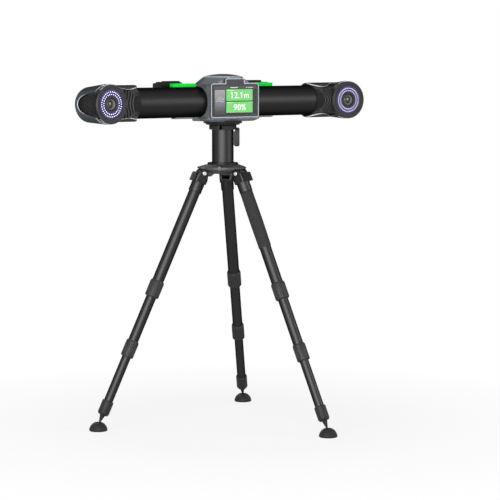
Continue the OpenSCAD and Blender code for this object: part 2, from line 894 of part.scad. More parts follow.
module side_cover(s) {
  front = ring_u - 2;
  color("#2a2b2c") on_head(s) {
    intersection() {
      along_view() head_shell(1.6, casing_wall + seat_gap, front);
      cover_block(slide_gap);
    }
    for (i = [1:5])
      intersection() {
        along_view() head_shell(0.6, 2.4, front);
        difference() {
          cover_block(4.4 * i - 0.5);
          cover_block(4.4 * i + 1.3);
        }
      }
  }
}

module front_ring(s) {
  color("#1d1d1e") on_head(s) along_view()
    rotate_extrude()
      polygon([
        [ring_in_r, ring_u - 1.2], [shell_in_r - 2 * seat_gap, ring_u - 1.2],
        [shell_in_r - 2 * seat_gap, ring_u + seat_gap], [head_r - 2, ring_u + seat_gap],
        [head_r - 2, ring_u + 3.5], [head_r - 4.5, ring_u + 6], [head_r - 8, ring_u + 6],
        [head_r - 9, ring_u + 5.2], [head_r - 9.2, ring_u + 3.2], [head_r - 10.8, ring_u + 3.2],
        [head_r - 11, ring_u + 4.7], [ring_in_r + 1.5, ring_u + 3.4], [ring_in_r, ring_u + 2.6]
      ]);
}

module led_board(s) {
  color("#5b58a6") on_head(s) along_view()
    translate([0, 0, ring_u - 1.3])
      difference() {
        union() {
          cylinder(h = 2.4, r = ring_in_r - seat_gap);
          for (i = [1:outer_leds])
            rotate([0, 0, i * 360 / outer_leds])
              translate([ring_in_r - 6.5, 0, 1]) cylinder(h = 2.6, r = 1.9);
          for (i = [1:inner_leds])
            rotate([0, 0, (i + 0.5) * 360 / inner_leds])
              translate([ring_in_r - 13.5, 0, 1]) cylinder(h = 2.6, r = 1.9);
        }
        translate([0, 0, -1]) cylinder(h = 20, r = lens_r + 5);
      }
}

module lens_barrel(s) {
  color("#19191a") on_head(s) along_view()
    translate([0, 0, ring_u])
      rotate_extrude()
        polygon([
          [glass_r - 2, -31.5], [lens_r, -31.5], [lens_r, -1], [lens_r + 5 - seat_gap, -1],
          [lens_r + 5 - seat_gap, 2], [lens_r + 3, 4.5], [lens_r, 5], [lens_r - 1.5, 3.5],
          [glass_r + seat_gap, -3], [glass_r + seat_gap, -10], [glass_r - 2, -10]
        ]);
}

module lens_glass(s) {
  ball = 1.7 * glass_r;
  color("#31406b") on_head(s) along_view()
    translate([0, 0, ring_u - 9.9])
      intersection() {
        cylinder(h = 12, r = glass_r);
        translate([0, 0, 7 - ball]) sphere(ball);
      }
}

spider();
pivot_pins();
column();
clamp_collar();
clamp_lever();
foam_grip();
for (k = [1:3]) {
  leg_yoke(k);
  angle_tab(k);
  upper_tube(k);
  upper_lock(k);
  middle_tube(k);
  lower_lock(k);
  lower_tube(k);
  ball_end(k);
  foot_pad(k);
}
pan_flange();
beam_tube();
centre_housing();
top_cap();
light_strips();
rear_module();
display_frame();
display_panel();
display_screen();
circuit_boards();
for (s = ["left", "right"]) {
  head_casing(s);
  head_core(s);
  side_cover(s);
  front_ring(s);
  led_board(s);
  lens_barrel(s);
  lens_glass(s);
}
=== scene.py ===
# %% [markdown]
# # A beam-shaped optical scanner on a tripod
# This lesson dresses a finished CAD model: the solids arrive at their real size, and Blender adds the finish,
# the rounded shells and the small lights. Nothing here moves a CAD part. The first cell loads the imported model
# and can measure the box of each node.

# %% Load the frame
import json
import math
import bpy
from mathutils import Matrix, Vector

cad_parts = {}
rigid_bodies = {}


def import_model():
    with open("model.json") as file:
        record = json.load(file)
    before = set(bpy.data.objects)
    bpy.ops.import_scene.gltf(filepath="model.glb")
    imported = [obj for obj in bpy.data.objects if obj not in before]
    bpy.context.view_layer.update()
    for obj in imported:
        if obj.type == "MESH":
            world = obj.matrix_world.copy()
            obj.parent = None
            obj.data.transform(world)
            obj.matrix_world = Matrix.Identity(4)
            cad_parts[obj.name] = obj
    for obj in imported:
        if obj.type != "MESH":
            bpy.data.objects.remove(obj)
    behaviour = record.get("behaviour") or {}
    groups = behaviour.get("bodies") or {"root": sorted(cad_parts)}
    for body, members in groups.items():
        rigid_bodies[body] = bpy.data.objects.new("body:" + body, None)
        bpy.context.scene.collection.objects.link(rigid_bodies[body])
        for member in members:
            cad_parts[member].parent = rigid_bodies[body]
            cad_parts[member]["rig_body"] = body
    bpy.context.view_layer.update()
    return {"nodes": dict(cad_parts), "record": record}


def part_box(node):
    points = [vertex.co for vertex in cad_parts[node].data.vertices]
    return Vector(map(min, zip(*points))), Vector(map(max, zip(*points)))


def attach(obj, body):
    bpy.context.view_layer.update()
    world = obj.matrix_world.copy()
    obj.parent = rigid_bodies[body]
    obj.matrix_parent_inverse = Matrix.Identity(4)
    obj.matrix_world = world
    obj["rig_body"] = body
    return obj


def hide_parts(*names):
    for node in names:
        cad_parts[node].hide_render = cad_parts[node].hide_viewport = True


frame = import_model()
nodes = frame["nodes"]

# %% [markdown]
# ## Landmarks
# Two places come back in every cell: the axis of the beam and the axis of the column. They are measured on the
# CAD nodes, so a changed model moves them by itself. Only the turn of the cameras towards the middle and the
# place of that turn on the beam are written down, because a box can't show an angle.

# %% Landmarks
MM = 0.001
TOE_IN = math.radians(6.4)
HEAD_X = 457.2 * MM
SIDES = {"left": -1, "right": 1}
LEGS = (1, 2, 3)


def middle(node):
    low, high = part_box(node)
    return (Vector(low) + Vector(high)) / 2


beam = middle("beam_tube")
column = middle("column")
print("beam axis", tuple(round(v, 4) for v in beam), "column", tuple(round(v, 4) for v in column))

# %% [markdown]
# ## The camera
# The photo was taken from the front left with a long lens, a little above the display. The camera is turned
# round a target near the middle of the object: an azimuth, an elevation and a distance say where it stands.

# %% Camera
AZIMUTH = math.radians(-36.47)
ELEVATION = math.radians(5.43)
DISTANCE = 6.7555
TARGET = Vector((0.0680, column.y - 0.0502, 0.5441))
LENS = 155.8

backwards = Vector((
    math.sin(AZIMUTH) * math.cos(ELEVATION),
    -math.cos(AZIMUTH) * math.cos(ELEVATION),
    math.sin(ELEVATION),
))
camera_data = bpy.data.cameras.new("camera")
camera_data.lens = LENS
camera_data.sensor_width = 36
camera = bpy.data.objects.new("camera", camera_data)
camera.location = TARGET + DISTANCE * backwards
camera.rotation_euler = backwards.to_track_quat("Z", "Y").to_euler()
bpy.context.scene.collection.objects.link(camera)
bpy.context.scene.camera = camera
print("camera at", tuple(round(v, 3) for v in camera.location))

# %% [markdown]
# ## The soft boxes
# A product photo like this is lit by large soft boxes, so dark tubes show long soft streaks. A wide box left of
# the camera makes the broad streak down the legs. The beam lies across, so it mirrors a second box to the right
# of the camera, and a third one behind lights the tops. Small lamps would be simpler, but their streaks are thin
# and hard.

# %% Soft boxes
AIM = Vector((0, 0, 0.75))
scene = bpy.context.scene
scene.view_settings.view_transform = "Standard"


def soft_box(name, place, size, watts):
    light = bpy.data.lights.new(name, "AREA")
    light.shape = "RECTANGLE"
    light.size, light.size_y = size
    light.energy = watts
    lamp = bpy.data.objects.new(name, light)
    lamp.location = place
    lamp.rotation_euler = (Vector(place) - AIM).to_track_quat("Z", "Y").to_euler()
    scene.collection.objects.link(lamp)
    print(name, size, "m,", watts, "W")


soft_box("front_light", (-3.1, -2.8, 1.45), (4.4, 2.7), 240)
soft_box("side_light", (2.5, -3.4, 1.75), (1.8, 2.0), 57)
soft_box("rear_light", (0.4, 3.4, 3.4), (3.0, 1.6), 34)

# %% [markdown]
# ## The white surroundings
# The background of the photo is white. More light would bleach the object, so the surroundings have two sides: a
# dim one that lights the object, and a white one that only the camera, reflections and glass see. The Light Path
# node tells the rays apart.

# %% White surroundings
DIM_STRENGTH = 0.2


def seen_white(tree, dim, bright):
    """Joins a lighting shader and a white one: the white one is for camera, glossy and transmission rays."""
    path = tree.nodes.new("ShaderNodeLightPath")
    first = tree.nodes.new("ShaderNodeMath")
    first.operation = "MAXIMUM"
    second = tree.nodes.new("ShaderNodeMath")
    second.operation = "MAXIMUM"
    mix = tree.nodes.new("ShaderNodeMixShader")
    tree.links.new(path.outputs["Is Camera Ray"], first.inputs[0])
    tree.links.new(path.outputs["Is Glossy Ray"], first.inputs[1])
    tree.links.new(first.outputs[0], second.inputs[0])
    tree.links.new(path.outputs["Is Transmission Ray"], second.inputs[1])
    tree.links.new(second.outputs[0], mix.inputs["Fac"])
    tree.links.new(dim.outputs[0], mix.inputs[1])
    tree.links.new(bright.outputs[0], mix.inputs[2])
    return mix


world = bpy.data.worlds.new("studio")
scene.world = world
world.use_nodes = True
tree = world.node_tree
tree.nodes.clear()
dim = tree.nodes.new("ShaderNodeBackground")
dim.inputs["Strength"].default_value = DIM_STRENGTH
bright = tree.nodes.new("ShaderNodeBackground")
bright.inputs["Color"].default_value = (1, 1, 1, 1)
bright.inputs["Strength"].default_value = 1.0
out = tree.nodes.new("ShaderNodeOutputWorld")
tree.links.new(seen_white(tree, dim, bright).outputs[0], out.inputs["Surface"])
print("surroundings: white to the camera, strength", DIM_STRENGTH, "on the object")

# %% [markdown]
# ## The floor
# The floor is pale. A part of it is real shading, so that it keeps the shadow near the feet, and the rest glows.
# Further out the glow takes over, and the floor fades into the white without a horizon.

# %% Floor
FLOOR_SIZE = 40
FLOOR_DROP = 0.5 * MM
FADE_START, FADE_END = 0.45, 1.3
GLOW_NEAR = 0.82

bpy.ops.object.select_all(action="DESELECT")
bpy.ops.mesh.primitive_plane_add(size=FLOOR_SIZE, location=(0, 0, -FLOOR_DROP))
floor = bpy.context.object
floor.name = "floor"
pale = bpy.data.materials.new("pale_floor")
pale.use_nodes = True
tree = pale.node_tree
tree.nodes.clear()
matt = tree.nodes.new("ShaderNodeBsdfDiffuse")
matt.inputs["Color"].default_value = (0.9, 0.9, 0.9, 1)
glow = tree.nodes.new("ShaderNodeEmission")
glow.inputs["Strength"].default_value = 1.0
place = tree.nodes.new("ShaderNodeTexCoord")
reach = tree.nodes.new("ShaderNodeVectorMath")
reach.operation = "LENGTH"
tree.links.new(place.outputs["Object"], reach.inputs[0])
fade = tree.nodes.new("ShaderNodeMapRange")
fade.inputs["From Min"].default_value = FADE_START
fade.inputs["From Max"].default_value = FADE_END
fade.inputs["To Min"].default_value = GLOW_NEAR
fade.inputs["To Max"].default_value = 1.0
tree.links.new(reach.outputs["Value"], fade.inputs["Value"])
blend = tree.nodes.new("ShaderNodeMixShader")
tree.links.new(fade.outputs["Result"], blend.inputs["Fac"])
tree.links.new(matt.outputs[0], blend.inputs[1])
tree.links.new(glow.outputs[0], blend.inputs[2])
out = tree.nodes.new("ShaderNodeOutputMaterial")
tree.links.new(seen_white(tree, matt, blend).outputs[0], out.inputs["Surface"])
floor.data.materials.append(pale)
print("floor:", FLOOR_SIZE, "m wide")

# %% [markdown]
# ## Finishes: the recipe
# Every finish starts from the same recipe: a fine noise changes the colour, the roughness and the surface
# height a little, at the scale of the real coating. Numbers that are the same all over sit on the shader itself.
# A second recipe adds a glow, for the lights and the screen.

# %% Finish recipe
NOISE_DETAIL = 4
UNEVEN = 0.06
PATCH = 0.15


def coating(name, colour, rough, grain, depth, metal=0.0, spread=0.12, coat=0.0, shine=0.5, rise=1.0,
            edge=None):
    """A coated surface: colour, roughness, grain size and height in metres.

    rise says how far the reflection grows at a flat angle, and edge is a lighter colour that paints a highlight on
    marked edges.
    """
    material = bpy.data.materials.new(name)
    material.use_nodes = True
    tree = material.node_tree
    shader = tree.nodes["Principled BSDF"]
    shader.inputs["Metallic"].default_value = metal
    shader.inputs["Coat Weight"].default_value = coat
    shader.inputs["Specular IOR Level"].default_value = shine
    shader.inputs["Specular Tint"].default_value = (rise, rise, rise, 1)
    place = tree.nodes.new("ShaderNodeTexCoord")
    noise = tree.nodes.new("ShaderNodeTexNoise")
    noise.inputs["Scale"].default_value = 1 / grain
    noise.inputs["Detail"].default_value = NOISE_DETAIL
    tree.links.new(place.outputs["Object"], noise.inputs["Vector"])
    tint = tree.nodes.new("ShaderNodeValToRGB")
    darker, lighter = tint.color_ramp.elements
    darker.position, lighter.position = 0.3, 0.7
    darker.color = (*[c * (1 - spread) for c in colour], 1)
    lighter.color = (*[min(1, c * (1 + spread)) for c in colour], 1)
    tree.links.new(noise.outputs["Fac"], tint.inputs["Fac"])
    colour_out = tint.outputs["Color"]
    # The edge colour is a painted highlight, mixed in where the edge attribute marks a vertex.
    if edge:
        marks = tree.nodes.new("ShaderNodeAttribute")
        marks.attribute_name = "edge"
        edge_highlight = tree.nodes.new("ShaderNodeMixRGB")
        edge_highlight.inputs["Color2"].default_value = (*edge, 1)
        tree.links.new(marks.outputs["Fac"], edge_highlight.inputs["Fac"])
        tree.links.new(colour_out, edge_highlight.inputs["Color1"])
        colour_out = edge_highlight.outputs["Color"]
    tree.links.new(colour_out, shader.inputs["Base Color"])
    patch = tree.nodes.new("ShaderNodeTexNoise")
    patch.inputs["Scale"].default_value = PATCH / grain
    tree.links.new(place.outputs["Object"], patch.inputs["Vector"])
    spot = tree.nodes.new("ShaderNodeMapRange")
    spot.inputs["To Min"].default_value = rough - UNEVEN
    spot.inputs["To Max"].default_value = rough + UNEVEN
    tree.links.new(patch.outputs["Fac"], spot.inputs["Value"])
    tree.links.new(spot.outputs["Result"], shader.inputs["Roughness"])
    bump = tree.nodes.new("ShaderNodeBump")
    bump.inputs["Strength"].default_value = 1.0
    bump.inputs["Distance"].default_value = depth
    tree.links.new(noise.outputs["Fac"], bump.inputs["Height"])
    tree.links.new(bump.outputs["Normal"], shader.inputs["Normal"])
    return material


def glowing(material, colour, strength):
    """Lets a finish give off light of its own."""
    shader = material.node_tree.nodes["Principled BSDF"]
    shader.inputs["Emission Color"].default_value = (*colour, 1)
    shader.inputs["Emission Strength"].default_value = strength
    return material


print("finish recipe: roughness uneven by", UNEVEN)

# %% [markdown]
# ## Finishes: the list
# The shells wear a slate paint with metal flakes, the tubes a dull black anodised coat, the castings a rougher
# black, and the small parts are moulded. The blacks differ by a little on purpose: on the real object that is what
# tells the tubes, the locks and the castings apart. The casings' slate also has a light edge colour, which is a
# painted highlight on the cut edges. The light bright rim finish and the lighter rib grey are painted highlights too.

# %% Finish list
# The slate's edge colour is a painted highlight on the cut edges of the casings.
slate = coating("slate_paint", (0.070, 0.079, 0.086), 0.42, 0.7 * MM, 0.002 * MM,
                metal=0.4, shine=0.0, rise=0.12, edge=(0.60, 0.65, 0.70))
house_paint = coating("house_paint", (0.150, 0.164, 0.175), 0.42, 0.7 * MM, 0.002 * MM,
                      metal=0.4, shine=0.0, rise=0.12)
tube_black = coating("tube_black", (0.027, 0.0262, 0.0262), 0.42, 0.5 * MM, 0.003 * MM, metal=1.0, rise=0.15)
core_black = coating("core_black", (0.011, 0.011, 0.011), 0.5, 0.6 * MM, 0.012 * MM, shine=0.08)
panel_grey = coating("panel_grey", (0.044, 0.044, 0.045), 0.45, 0.6 * MM, 0.004 * MM, shine=0.15)
# A painted highlight: this grey goes on rib crests, where the light catches them.
rib_grey = coating("rib_grey", (0.052, 0.050, 0.050), 0.5, 0.6 * MM, 0.012 * MM, shine=0.1)
ring_black = coating("ring_black", (0.034, 0.032, 0.031), 0.42, 0.6 * MM, 0.006 * MM, shine=0.14)
mount_grey = coating("mount_grey", (0.12, 0.12, 0.118), 0.38, 0.5 * MM, 0.003 * MM, shine=0.3)
# A painted highlight: this light finish goes on bevels and edges where the light catches them.
highlight_rim = coating("bright_rim", (0.36, 0.40, 0.45), 0.40, 0.5 * MM, 0.004 * MM, shine=0.3)
leg_black = coating("leg_black", (0.034, 0.0332, 0.0332), 0.38, 0.4 * MM, 0.002 * MM, metal=1.0, rise=0.15)
cast = coating("cast_black", (0.078, 0.076, 0.076), 0.42, 0.7 * MM, 0.008 * MM,
               metal=0.55, shine=0.1, rise=0.2)
plastic = coating("lever_plastic", (0.018, 0.018, 0.019), 0.45, 0.5 * MM, 0.015 * MM, shine=0.18)
tab_black = coating("tab_black", (0.008, 0.008, 0.008), 0.5, 0.5 * MM, 0.015 * MM, shine=0.12)
lock_grey = coating("lock_grey", (0.040, 0.039, 0.039), 0.42, 0.6 * MM, 0.01 * MM,
                    metal=0.6, shine=0.16, rise=0.3)
rubber = coating("foot_rubber", (0.016, 0.016, 0.016), 0.55, 0.6 * MM, 0.03 * MM, shine=0.16)
foam = coating("foam", (0.034, 0.033, 0.033), 0.9, 0.9 * MM, 0.12 * MM, shine=0.1)
steel = coating("pin_steel", (0.66, 0.66, 0.67), 0.28, 0.3 * MM, 0.003 * MM, metal=1.0)
board = coating("circuit_board", (0.02, 0.12, 0.06), 0.4, 0.8 * MM, 0.01 * MM)
green = coating("green_light", (0.002, 0.58, 0.036), 0.35, 2 * MM, 0.002 * MM, shine=0.05)
led_board = coating("led_board", (0.040, 0.036, 0.110), 0.4, 0.8 * MM, 0.006 * MM, shine=0.2)
lens = coating("lens_glass", (0.010, 0.013, 0.012), 0.10, 2 * MM, 0.0005 * MM, coat=0.7)
screen = coating("screen_glass", (0.018, 0.018, 0.019), 0.25, 2 * MM, 0.0005 * MM, shine=0.15)
glowing(green, (0.002, 0.56, 0.036), 0.06)
print("finishes:", len(bpy.data.materials))

# %% [markdown]
# ## Dressing the CAD nodes
# Every CAD node gets its finish here, also those that a later cell replaces, so that nothing is ever left bare.
# The same finish on a whole group of nodes keeps the pieces of one real material alike.

# %% Dress the nodes


def dress(material, *names):
    for name in names:
        nodes[name].data.materials.clear()
        nodes[name].data.materials.append(material)
    print(material.name, "on", len(names), "nodes")


def both(stem):
    return [stem + "_" + side for side in SIDES]


def each_leg(*stems):
    return [f"{stem}_{k}" for stem in stems for k in LEGS]


dress(slate, *both("head_casing"))
dress(house_paint, "centre_housing")
dress(slate, "display_frame")
dress(tube_black, "beam_tube")
dress(panel_grey, "display_panel")
dress(core_black, "rear_module", "top_cap", *both("head_core"), *both("side_cover"))
dress(ring_black, *both("front_ring"), *both("lens_barrel"))
dress(led_board, *both("led_board"))
dress(lens, *both("lens_glass"))
dress(screen, "display_screen")
dress(green, "light_strips")
dress(board, "circuit_boards")
dress(leg_black, "column", *each_leg("upper_tube", "middle_tube", "lower_tube", "leg_yoke"))
dress(cast, "spider", "clamp_collar")
dress(plastic, "clamp_lever", *each_leg("ball_end"))
dress(tab_black, "pan_flange", *each_leg("angle_tab"))
dress(lock_grey, *each_leg("upper_lock", "lower_lock"))
dress(rubber, *each_leg("foot_pad"))
dress(foam, "foam_grip")
dress(steel, "pivot_pins")

# %% [markdown]
# ## Tools: selecting
# An operator acts on all that is selected, so each step first clears the selection and then picks its own piece,
# or only those points of it that it wants to move.

# %% Tools for selecting


def fresh():
    """Object mode, with nothing selected."""
    if bpy.context.object and bpy.context.object.mode != "OBJECT":
        bpy.ops.object.mode_set(mode="OBJECT")
    bpy.ops.object.select_all(action="DESELECT")


def pick(piece):
    fresh()
    piece.select_set(True)
    bpy.context.view_layer.objects.active = piece


def pick_points(piece, wanted):
    """Edit mode, with only those vertices selected that are wanted."""
    pick(piece)
    bpy.ops.object.mode_set(mode="EDIT")
    bpy.ops.mesh.select_all(action="DESELECT")
    bpy.ops.object.mode_set(mode="OBJECT")
    for vertex in piece.data.vertices:
        vertex.select = wanted(vertex)
    bpy.ops.object.mode_set(mode="EDIT")


print("tools for selecting: fresh, pick, pick_points")

# %% [markdown]
# ## Tools: outlines
# Most new pieces start as an outline. It is traced by extruding one vertex from point to point, then it is spun
# round an axis or extruded to a block, as one would do by hand. A primitive scaled to size would be quicker, but
# it can't have the steps and curves of a turned or moulded part.

# %% Tools for outlines


def trace(name, points):
    """A closed outline through the points, left in edit mode with everything selected."""
    fresh()
    bpy.ops.mesh.primitive_plane_add(size=MM)
    piece = bpy.context.object
    piece.name = name
    bpy.ops.object.mode_set(mode="EDIT")
    bpy.ops.mesh.merge(type="CENTER")
    here = Vector(points[0])
    bpy.ops.transform.translate(value=here)
    for point in points[1:]:
        step = Vector(point) - here
        bpy.ops.mesh.extrude_vertices_move(TRANSFORM_OT_translate={"value": step})
        here = Vector(point)
    bpy.ops.object.mode_set(mode="OBJECT")
    ends = {0, len(points) - 1}
    for vertex in piece.data.vertices:
        vertex.select = vertex.index in ends
    bpy.ops.object.mode_set(mode="EDIT")
    bpy.ops.mesh.edge_face_add()
    bpy.ops.mesh.select_all(action="SELECT")
    return piece


def close_up():
    """Merges doubles, turns the faces outwards and goes back to object mode."""
    bpy.ops.mesh.select_all(action="SELECT")
    bpy.ops.mesh.remove_doubles(threshold=1e-6)
    bpy.ops.mesh.dissolve_degenerate(threshold=1e-7)
    bpy.ops.mesh.select_all(action="SELECT")
    bpy.ops.mesh.normals_make_consistent(inside=False)
    bpy.ops.object.mode_set(mode="OBJECT")


def turned(name, outline, steps=96):
    """A piece turned on the optical axis: the outline gives (radius, distance in front) in millimetres."""
    piece = trace(name, [(r * MM, -u * MM, 0) for r, u in outline])
    bpy.ops.mesh.spin(steps=steps, angle=2 * math.pi, center=(0, 0, 0), axis=(0, 1, 0))
    close_up()
    return piece


def block(name, outline, thickness):
    """A block: a closed outline of points in metres, extruded by a vector."""
    piece = trace(name, outline)
    bpy.ops.mesh.edge_face_add()
    bpy.ops.mesh.extrude_region_move(TRANSFORM_OT_translate={"value": thickness})
    close_up()
    return piece


def arc(centre, radius, start, end, steps):
    turn = [math.radians(start + (end - start) * i / steps) for i in range(steps + 1)]
    return [(centre[0] + radius * math.cos(a), centre[1] + radius * math.sin(a)) for a in turn]


print("tools for outlines: trace, turned, block, arc")

# %% [markdown]
# ## Tools: finishing a piece
# These apply a modifier, cut one piece with another, and bring a piece to its camera head. The last ones finish a
# piece: smooth shading, its finish, the body that it moves with and the node that it stands for. The slots of the
# nodes are listed first.

# %% Tools for finishing
slot_of = {row["node"]: row["material_slot"] for row in frame["record"]["subparts"]}


def apply(piece, kind, **settings):
    """Adds a modifier, sets it and applies it."""
    pick(piece)
    modifier = piece.modifiers.new(kind.lower(), kind)
    for key, value in settings.items():
        setattr(modifier, key, value)
    bpy.ops.object.modifier_apply(modifier=modifier.name)


def combine(piece, other, operation):
    apply(piece, "BOOLEAN", object=other, operation=operation, solver="EXACT")
    bpy.data.objects.remove(other)


def to_head(piece, side="left"):
    """Moves a piece made round the origin to a camera head, and puts the place into its mesh."""
    pick(piece)
    piece.location = (SIDES[side] * HEAD_X, beam.y, beam.z)
    piece.rotation_euler = (0, 0, -SIDES[side] * TOE_IN)
    bpy.ops.object.transform_apply()


def fit(piece, material, slot, body, *replaced, angle=40):
    """Finishes a piece: smooth shading, its finish, its body and the nodes that it stands for; slot is not used."""
    pick(piece)
    bpy.ops.object.shade_smooth_by_angle(angle=math.radians(angle))
    piece.data.materials.clear()
    piece.data.materials.append(material)
    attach(piece, body)
    if replaced:
        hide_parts(*replaced)
    print(piece.name, len(piece.data.polygons), "faces on", body)


def mirrored(piece, name):
    """A copy with its own mesh on the other side of the column."""
    twin = piece.copy()
    twin.data = piece.data.copy()
    twin.name = name
    scene.collection.objects.link(twin)
    pick(twin)
    twin.scale.x = -1
    bpy.ops.object.transform_apply()
    bpy.ops.object.mode_set(mode="EDIT")
    close_up()
    return twin


print("slots:", sorted(set(slot_of.values())))

# %% [markdown]
# ## The camera casings: outer form
# Each camera sits in a painted shell: a cup that closes round the back of the camera and grows, without a
# crease, into a sleeve that holds the end of the beam. A cup and a rod joined by a boolean would meet in a sharp
# line, so the union is remeshed to small even cells and smoothed, which melts the joint like a moulding fillet.

# %% Casing form
CUP_R, CUP_WAIST, CUP_BACK = 60.5, 40, -46
CORNER, CORNER_R = (47.4, -36.5), 9.5
FLATTER = 0.90


def cup(inset, front):
    """The outline of the cup, shrunk by an inset and cut off at a front."""
    return [(0, front), (CUP_R - inset, front), (CUP_R - inset, CUP_WAIST),
            *arc(CORNER, CORNER_R - inset, 6, -90, 10), (0, CUP_BACK + inset)]


def lowered(piece):
    """Presses the upper back of a cup flatter, so that the shell slopes down behind the lens."""
    pick_points(piece, lambda vertex: vertex.co.y > 0 and vertex.co.z > 0)
    bpy.ops.transform.resize(value=(1, 1, FLATTER), center_override=(0, 0, 0))
    bpy.ops.object.mode_set(mode="OBJECT")
    return piece


def rod(name, near, far, radius):
    """A rod along the beam, between two distances left of the column."""
    fresh()
    bpy.ops.mesh.primitive_cylinder_add(
        vertices=128, radius=radius * MM, depth=(far - near) * MM,
        location=(-(near + far) / 2 * MM, beam.y, beam.z), rotation=(0, math.pi / 2, 0))
    bpy.ops.object.transform_apply()
    bpy.context.object.name = name
    return bpy.context.object


casing = lowered(turned("casing_left", cup(0, 68), 128))
to_head(casing)
combine(casing, rod("sleeve", 312, 457, 55.5), "UNION")
apply(casing, "REMESH", mode="VOXEL", voxel_size=1.7 * MM)
apply(casing, "SMOOTH", iterations=10, factor=0.5)
print("casing form:", len(casing.data.polygons), "faces")

# %% [markdown]
# ## The camera casings: hollow and mouth
# The shell is hollow and open in front. In front of the beam it is cut away in a parabola, so that two tongues stay
# above and below the neck. Each cutter is a simple block, traced from the curve that the photo shows.

# %% Casing hollow and mouth
WALL = 4
FACE = 62
ARCH_X, ARCH_Z, ARCH_BEND = 365.2, 41.5, 0.0054

hollow = lowered(turned("hollow", cup(WALL, 90), 128))
to_head(hollow)
combine(casing, hollow, "DIFFERENCE")
combine(casing, rod("bore", 280, 448, 51.15), "DIFFERENCE")

square = ((-100, -100), (100, -100), (100, 100), (-100, 100))
front_cut = block("front_cut", [(x * MM, -120 * MM, z * MM) for x, z in square], (0, (120 - FACE) * MM, 0))
to_head(front_cut)
combine(casing, front_cut, "DIFFERENCE")


def arch_height(d):
    """The height of the parabola over the beam axis, at a distance from its lowest place."""
    return ARCH_Z + ARCH_BEND * d * d


arch = [(-(ARCH_X + d), arch_height(d)) for d in range(-80, 61, 5)]
mouth = block("mouth", [(x * MM, beam.y - 150 * MM, beam.z + z * MM) for x, z in
                        [*arch, *((x, -z) for x, z in reversed(arch))]], (0, 134 * MM, 0))
combine(casing, mouth, "DIFFERENCE")
print("casing mouth:", len(casing.data.polygons), "faces")

# %% [markdown]
# ## The camera casings: tongues and window
# Seen from above the tongues run out in a point, and the outer side has a bullet-shaped window. After these cuts a
# second, finer remesh rounds every cut edge a little, as paint does.

# %% Casing tongues and window
TIP, TIP_DEPTH, TIP_WIDTH = 327, 13, 26.6
BACK_DEPTH, BACK_WIDTH = 8, 55
WINDOW_R, WINDOW_REACH = 27, 82
TAPER = math.radians(13)


def tip_edge(y):
    """The distance of the tongue's front edge from the column, at a depth behind the beam axis."""
    return TIP + TIP_DEPTH * (y / TIP_WIDTH) ** 4


front_side = [(tip_edge(y), y) for y in range(-60, 1, 2)]
back_side = [(TIP + BACK_DEPTH * (y / BACK_WIDTH) ** 2, y) for y in range(4, 73, 4)]
plan = [(TIP - 60, -60), *front_side, *back_side, (TIP - 60, 72)]
points = block("points", [(-x * MM, beam.y + y * MM, beam.z - 100 * MM) for x, y in plan], (0, 0, 200 * MM))
combine(casing, points, "DIFFERENCE")

wide = WINDOW_REACH * math.tan(TAPER) + WINDOW_R / math.cos(TAPER)
bullet = [(WINDOW_REACH, wide), (WINDOW_REACH, -wide), *arc((0, 0), WINDOW_R, -103, -257, 24)]
window = block("window", [(-20 * MM, -u * MM, z * MM) for u, z in bullet], (-80 * MM, 0, 0))
to_head(window)
combine(casing, window, "DIFFERENCE")
apply(casing, "REMESH", mode="VOXEL", voxel_size=1.3 * MM)
apply(casing, "SMOOTH", iterations=18, factor=0.5)
print("casing window:", len(casing.data.polygons), "faces")

# %% [markdown]
# ## The camera casings: painted edge highlights
# The cut edges of the shell get a painted highlight: a light colour where light catches the rounded edges. A separate
# strip of mesh along each edge would be hard to fit, so each vertex stores how near it is to a cut, and the slate
# finish paints the highlight from that. The right casing is a mirrored copy.

# %% Casing edges
EDGE_FULL, EDGE_FADE = 1.2, 1.5
to_local = Matrix.Rotation(-TOE_IN, 3, "Z")


def nearest_cut(point):
    """The distance in millimetres from a point of the left casing to the nearest wall of a cut."""
    x, y, z = ((point - beam) / MM)
    across, along, z = to_local @ Vector((x + HEAD_X / MM, y, z))
    u, d = -along, -x - ARCH_X
    walls = [abs(FACE - u)]
    if y < -14 and d < 70:
        walls.append(abs(abs(z) - arch_height(d)) / math.hypot(1, 2 * ARCH_BEND * d))
    if y < 0:
        walls.append(abs(-x - tip_edge(y)) / math.hypot(1, 4 * TIP_DEPTH * y ** 3 / TIP_WIDTH ** 4))
    if across < -18 and u < 12:
        walls.append(abs(math.hypot(min(u, 0), z) - WINDOW_R) + max(0, u) / 4)
    return min(walls)


# Painted highlight: how much of the light edge colour each vertex takes, full at a cut and fading away from it.
edge_highlight_amount = [EDGE_FULL - nearest_cut(vertex.co) / EDGE_FADE for vertex in casing.data.vertices]
marks = casing.data.attributes.new("edge", "FLOAT", "POINT")
marks.data.foreach_set("value", [max(0, min(1, value)) for value in edge_highlight_amount])
fit(casing, slate, "slate_shell", "scanner", "head_casing_left", angle=180)
fit(mirrored(casing, "casing_right"), slate, "slate_shell", "scanner", "head_casing_right", angle=180)

# %% [markdown]
# ## Front rings and lenses
# The black ring in front of each camera, the lens mount in its middle and the glass are turned parts, so each is
# an outline spun round the optical axis. The outlines have small steps and grooves, because on a black part only
# these catch the light. The glass is a shallow dome, polished, with a thin coat that mirrors the soft boxes, and
# the step of the mount round it is a lighter grey.

